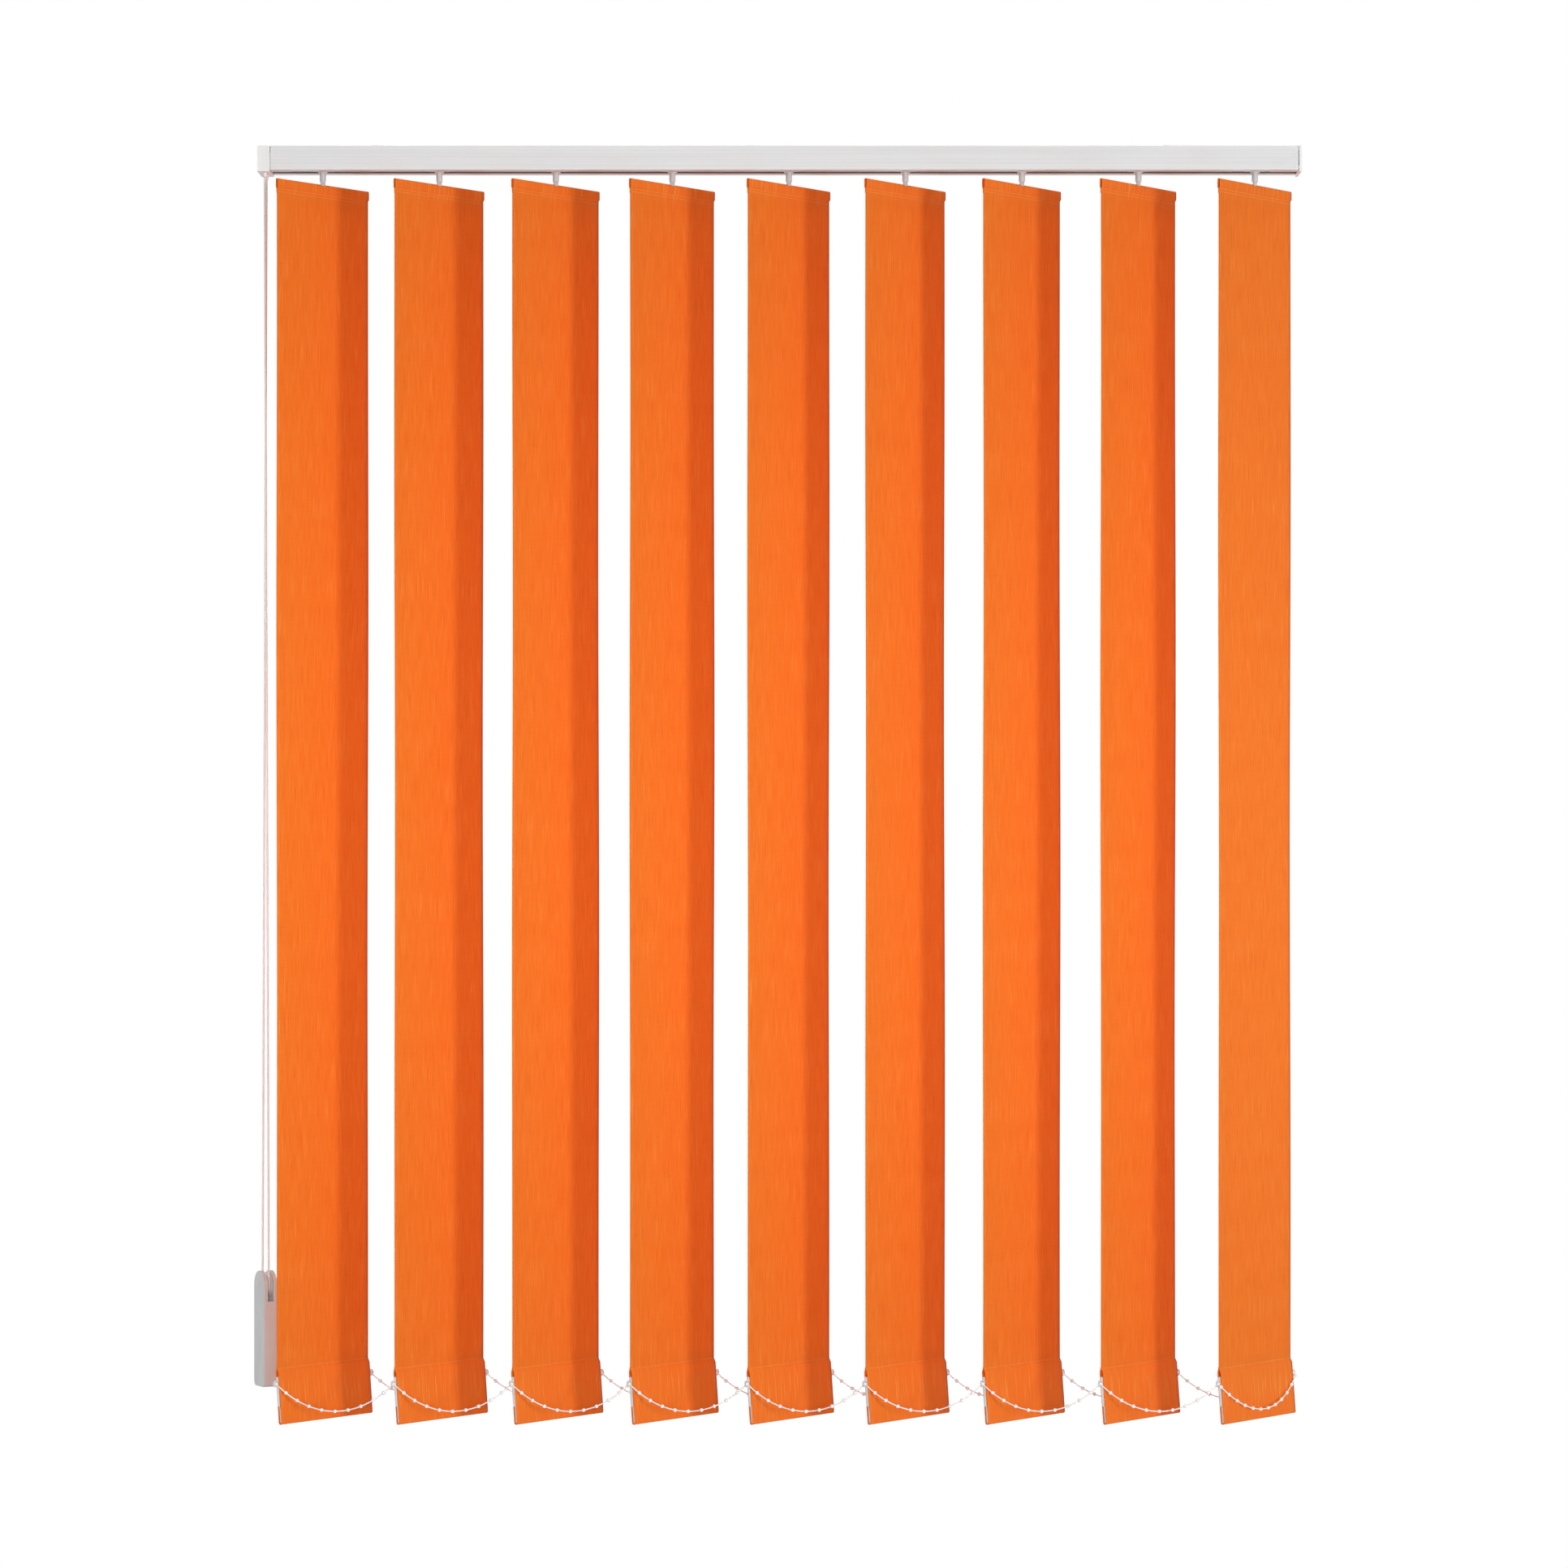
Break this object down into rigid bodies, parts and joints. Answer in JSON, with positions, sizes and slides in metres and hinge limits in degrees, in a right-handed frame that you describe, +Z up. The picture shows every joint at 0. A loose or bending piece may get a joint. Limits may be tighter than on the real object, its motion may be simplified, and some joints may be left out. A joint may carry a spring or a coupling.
{
  "type": "vertical blind",
  "caption": "Vertical blind with orange fabric vanes hung from a slim white headrail, beaded bottom chains and a weighted loop of cord that draws and tilts them.",
  "frame": {"origin": "middle of the row of ceiling clip screw holes, at the clips' top face against the ceiling", "axes": "+X along the headrail to the right, -Y to the front, into the room, +Z up"},
  "size_m": [1.0087, 0.1108, 1.2223],
  "materials": {
    "rail_paint": "white satin paint",
    "cap_plastic": "white moulded",
    "bright_steel": "zinc plated",
    "rod_aluminium": "drawn",
    "gear_plastic": "natural white moulded",
    "stem_plastic": "translucent grey moulded",
    "white_cord": "braided",
    "weight_plastic": "light grey moulded",
    "chain_plastic": "white moulded beads",
    "vane_fabric": "orange slub weave",
    "weight_bar": "white coated"
  },
  "bodies": {
    "rail": {"headrail": "rail_paint", "control_end_cap": "cap_plastic", "idle_end_cap": "cap_plastic", "ceiling_clips": "bright_steel", "end_cap_screws": "bright_steel", "rail_cord": "white_cord", "carrier_1": "gear_plastic"},
    "tilt_rod": {"tilt_rod": "rod_aluminium"},
    "drive_pulley": {"drive_pulley": "gear_plastic"},
    "return_pulley": {"return_pulley": "gear_plastic"},
    "carrier_2": {"carrier_2": "gear_plastic"},
    "carrier_3": {"carrier_3": "gear_plastic"},
    "carrier_4": {"carrier_4": "gear_plastic"},
    "carrier_5": {"carrier_5": "gear_plastic"},
    "carrier_6": {"carrier_6": "gear_plastic"},
    "carrier_7": {"carrier_7": "gear_plastic"},
    "carrier_8": {"carrier_8": "gear_plastic"},
    "carrier_9": {"carrier_9": "gear_plastic"},
    "pinion_1": {"pinion_1": "gear_plastic"},
    "pinion_2": {"pinion_2": "gear_plastic"},
    "pinion_3": {"pinion_3": "gear_plastic"},
    "pinion_4": {"pinion_4": "gear_plastic"},
    "pinion_5": {"pinion_5": "gear_plastic"},
    "pinion_6": {"pinion_6": "gear_plastic"},
    "pinion_7": {"pinion_7": "gear_plastic"},
    "pinion_8": {"pinion_8": "gear_plastic"},
    "pinion_9": {"pinion_9": "gear_plastic"},
    "vane_1": {"stem_1": "stem_plastic", "vane_1": "vane_fabric", "bottom_weight_1": "weight_bar"},
    "vane_2": {"stem_2": "stem_plastic", "vane_2": "vane_fabric", "bottom_weight_2": "weight_bar"},
    "vane_3": {"stem_3": "stem_plastic", "vane_3": "vane_fabric", "bottom_weight_3": "weight_bar"},
    "vane_4": {"stem_4": "stem_plastic", "vane_4": "vane_fabric", "bottom_weight_4": "weight_bar"},
    "vane_5": {"stem_5": "stem_plastic", "vane_5": "vane_fabric", "bottom_weight_5": "weight_bar"},
    "vane_6": {"stem_6": "stem_plastic", "vane_6": "vane_fabric", "bottom_weight_6": "weight_bar"},
    "vane_7": {"stem_7": "stem_plastic", "vane_7": "vane_fabric", "bottom_weight_7": "weight_bar"},
    "vane_8": {"stem_8": "stem_plastic", "vane_8": "vane_fabric", "bottom_weight_8": "weight_bar"},
    "vane_9": {"stem_9": "stem_plastic", "vane_9": "vane_fabric", "bottom_weight_9": "weight_bar", "end_chain": "chain_plastic"},
    "front_chain": {"front_chain": "chain_plastic"},
    "rear_chain": {"rear_chain": "chain_plastic"},
    "pull_cord": {"pull_cord": "white_cord", "cord_weight": "weight_plastic"},
    "weight_pulley": {"weight_pulley": "gear_plastic"}
  },
  "joints": [
    {"name": "carrier_slide_9", "type": "slide", "parent": "rail", "child": "carrier_9", "axis": [-1, 0, 0], "range_m": [0, 0.736], "deforming": ["front_chain", "rear_chain"]},
    {"name": "carrier_slide_8", "type": "slide", "parent": "rail", "child": "carrier_8", "axis": [-1, 0, 0], "range_m": [0, 0.644]},
    {"name": "carrier_slide_7", "type": "slide", "parent": "rail", "child": "carrier_7", "axis": [-1, 0, 0], "range_m": [0, 0.552]},
    {"name": "carrier_slide_6", "type": "slide", "parent": "rail", "child": "carrier_6", "axis": [-1, 0, 0], "range_m": [0, 0.46]},
    {"name": "carrier_slide_5", "type": "slide", "parent": "rail", "child": "carrier_5", "axis": [-1, 0, 0], "range_m": [0, 0.368]},
    {"name": "carrier_slide_4", "type": "slide", "parent": "rail", "child": "carrier_4", "axis": [-1, 0, 0], "range_m": [0, 0.276]},
    {"name": "carrier_slide_3", "type": "slide", "parent": "rail", "child": "carrier_3", "axis": [-1, 0, 0], "range_m": [0, 0.184]},
    {"name": "carrier_slide_2", "type": "slide", "parent": "rail", "child": "carrier_2", "axis": [-1, 0, 0], "range_m": [0, 0.092]},
    {"name": "vane_tilt_1", "type": "hinge", "parent": "rail", "child": "vane_1", "pos_m": [-0.439, 0, -0.0365], "axis": [0, 0, 1], "range_deg": [-34, 110]},
    {"name": "vane_tilt_2", "type": "hinge", "parent": "carrier_2", "child": "vane_2", "pos_m": [-0.327, 0, -0.0365], "axis": [0, 0, 1], "range_deg": [-34, 110]},
    {"name": "vane_tilt_3", "type": "hinge", "parent": "carrier_3", "child": "vane_3", "pos_m": [-0.215, 0, -0.0365], "axis": [0, 0, 1], "range_deg": [-34, 110]},
    {"name": "vane_tilt_4", "type": "hinge", "parent": "carrier_4", "child": "vane_4", "pos_m": [-0.103, 0, -0.0365], "axis": [0, 0, 1], "range_deg": [-34, 110]},
    {"name": "vane_tilt_5", "type": "hinge", "parent": "carrier_5", "child": "vane_5", "pos_m": [0.009, 0, -0.0365], "axis": [0, 0, 1], "range_deg": [-34, 110]},
    {"name": "vane_tilt_6", "type": "hinge", "parent": "carrier_6", "child": "vane_6", "pos_m": [0.121, 0, -0.0365], "axis": [0, 0, 1], "range_deg": [-34, 110]},
    {"name": "vane_tilt_7", "type": "hinge", "parent": "carrier_7", "child": "vane_7", "pos_m": [0.233, 0, -0.0365], "axis": [0, 0, 1], "range_deg": [-34, 110]},
    {"name": "vane_tilt_8", "type": "hinge", "parent": "carrier_8", "child": "vane_8", "pos_m": [0.345, 0, -0.0365], "axis": [0, 0, 1], "range_deg": [-34, 110]},
    {"name": "vane_tilt_9", "type": "hinge", "parent": "carrier_9", "child": "vane_9", "pos_m": [0.457, 0, -0.0365], "axis": [0, 0, 1], "range_deg": [-34, 110]},
    {"name": "rod_turn", "type": "hinge", "parent": "rail", "child": "tilt_rod", "pos_m": [0, 0, -0.01435], "axis": [1, 0, 0], "range_deg": [-68, 220]},
    {"name": "pinion_turn_1", "type": "hinge", "parent": "rail", "child": "pinion_1", "pos_m": [-0.4318, 0, -0.01435], "axis": [1, 0, 0], "range_deg": [-68, 220]},
    {"name": "pinion_turn_2", "type": "hinge", "parent": "carrier_2", "child": "pinion_2", "pos_m": [-0.3198, 0, -0.01435], "axis": [1, 0, 0], "range_deg": [-68, 220]},
    {"name": "pinion_turn_3", "type": "hinge", "parent": "carrier_3", "child": "pinion_3", "pos_m": [-0.2078, 0, -0.01435], "axis": [1, 0, 0], "range_deg": [-68, 220]},
    {"name": "pinion_turn_4", "type": "hinge", "parent": "carrier_4", "child": "pinion_4", "pos_m": [-0.0958, 0, -0.01435], "axis": [1, 0, 0], "range_deg": [-68, 220]},
    {"name": "pinion_turn_5", "type": "hinge", "parent": "carrier_5", "child": "pinion_5", "pos_m": [0.0162, 0, -0.01435], "axis": [1, 0, 0], "range_deg": [-68, 220]},
    {"name": "pinion_turn_6", "type": "hinge", "parent": "carrier_6", "child": "pinion_6", "pos_m": [0.1282, 0, -0.01435], "axis": [1, 0, 0], "range_deg": [-68, 220]},
    {"name": "pinion_turn_7", "type": "hinge", "parent": "carrier_7", "child": "pinion_7", "pos_m": [0.2402, 0, -0.01435], "axis": [1, 0, 0], "range_deg": [-68, 220]},
    {"name": "pinion_turn_8", "type": "hinge", "parent": "carrier_8", "child": "pinion_8", "pos_m": [0.3522, 0, -0.01435], "axis": [1, 0, 0], "range_deg": [-68, 220]},
    {"name": "pinion_turn_9", "type": "hinge", "parent": "carrier_9", "child": "pinion_9", "pos_m": [0.4642, 0, -0.01435], "axis": [1, 0, 0], "range_deg": [-68, 220]},
    {"name": "drive_pulley_turn", "type": "hinge", "parent": "rail", "child": "drive_pulley", "pos_m": [-0.489, -0.0085, -0.01435], "axis": [0, 1, 0], "range_deg": [-34, 110]},
    {"name": "return_pulley_turn", "type": "hinge", "parent": "rail", "child": "return_pulley", "pos_m": [0.484, 0, -0.00935], "axis": [0, 0, 1], "continuous": true},
    {"name": "front_chain_turn", "type": "hinge", "parent": "vane_1", "child": "front_chain", "pos_m": [-0.47877, -0.05281, -1.18345], "axis": [0, 0, 1], "range_deg": [-110, 34]},
    {"name": "rear_chain_turn", "type": "hinge", "parent": "vane_1", "child": "rear_chain", "pos_m": [-0.39738, 0.05137, -1.18345], "axis": [0, 0, 1], "range_deg": [-110, 34]},
    {"name": "cord_swing", "type": "hinge", "parent": "rail", "child": "pull_cord", "pos_m": [-0.494, 0, -0.03], "axis": [0, 1, 0], "range_deg": [0, 25]},
    {"name": "weight_pulley_turn", "type": "hinge", "parent": "pull_cord", "child": "weight_pulley", "pos_m": [-0.494, 0, -1.094], "axis": [0.8949, 0.4462, 0], "continuous": true}
  ],
  "couplings": [
    {"joint": "carrier_slide_8", "follows": "carrier_slide_9", "ratio": 0.875},
    {"joint": "carrier_slide_7", "follows": "carrier_slide_9", "ratio": 0.75},
    {"joint": "carrier_slide_6", "follows": "carrier_slide_9", "ratio": 0.625},
    {"joint": "carrier_slide_5", "follows": "carrier_slide_9", "ratio": 0.5},
    {"joint": "carrier_slide_4", "follows": "carrier_slide_9", "ratio": 0.375},
    {"joint": "carrier_slide_3", "follows": "carrier_slide_9", "ratio": 0.25},
    {"joint": "carrier_slide_2", "follows": "carrier_slide_9", "ratio": 0.125},
    {"joint": "vane_tilt_2", "follows": "vane_tilt_1", "ratio": 1},
    {"joint": "vane_tilt_3", "follows": "vane_tilt_1", "ratio": 1},
    {"joint": "vane_tilt_4", "follows": "vane_tilt_1", "ratio": 1},
    {"joint": "vane_tilt_5", "follows": "vane_tilt_1", "ratio": 1},
    {"joint": "vane_tilt_6", "follows": "vane_tilt_1", "ratio": 1},
    {"joint": "vane_tilt_7", "follows": "vane_tilt_1", "ratio": 1},
    {"joint": "vane_tilt_8", "follows": "vane_tilt_1", "ratio": 1},
    {"joint": "vane_tilt_9", "follows": "vane_tilt_1", "ratio": 1},
    {"joint": "rod_turn", "follows": "vane_tilt_1", "ratio": 2},
    {"joint": "pinion_turn_1", "follows": "vane_tilt_1", "ratio": 2},
    {"joint": "pinion_turn_2", "follows": "vane_tilt_1", "ratio": 2},
    {"joint": "pinion_turn_3", "follows": "vane_tilt_1", "ratio": 2},
    {"joint": "pinion_turn_4", "follows": "vane_tilt_1", "ratio": 2},
    {"joint": "pinion_turn_5", "follows": "vane_tilt_1", "ratio": 2},
    {"joint": "pinion_turn_6", "follows": "vane_tilt_1", "ratio": 2},
    {"joint": "pinion_turn_7", "follows": "vane_tilt_1", "ratio": 2},
    {"joint": "pinion_turn_8", "follows": "vane_tilt_1", "ratio": 2},
    {"joint": "pinion_turn_9", "follows": "vane_tilt_1", "ratio": 2},
    {"joint": "drive_pulley_turn", "follows": "vane_tilt_1", "ratio": 1},
    {"joint": "return_pulley_turn", "follows": "carrier_slide_9", "rad_per_m": -117.65},
    {"joint": "front_chain_turn", "follows": "vane_tilt_1", "ratio": -1},
    {"joint": "rear_chain_turn", "follows": "vane_tilt_1", "ratio": -1},
    {"joint": "weight_pulley_turn", "follows": "carrier_slide_9", "rad_per_m": 117.65}
  ]
}
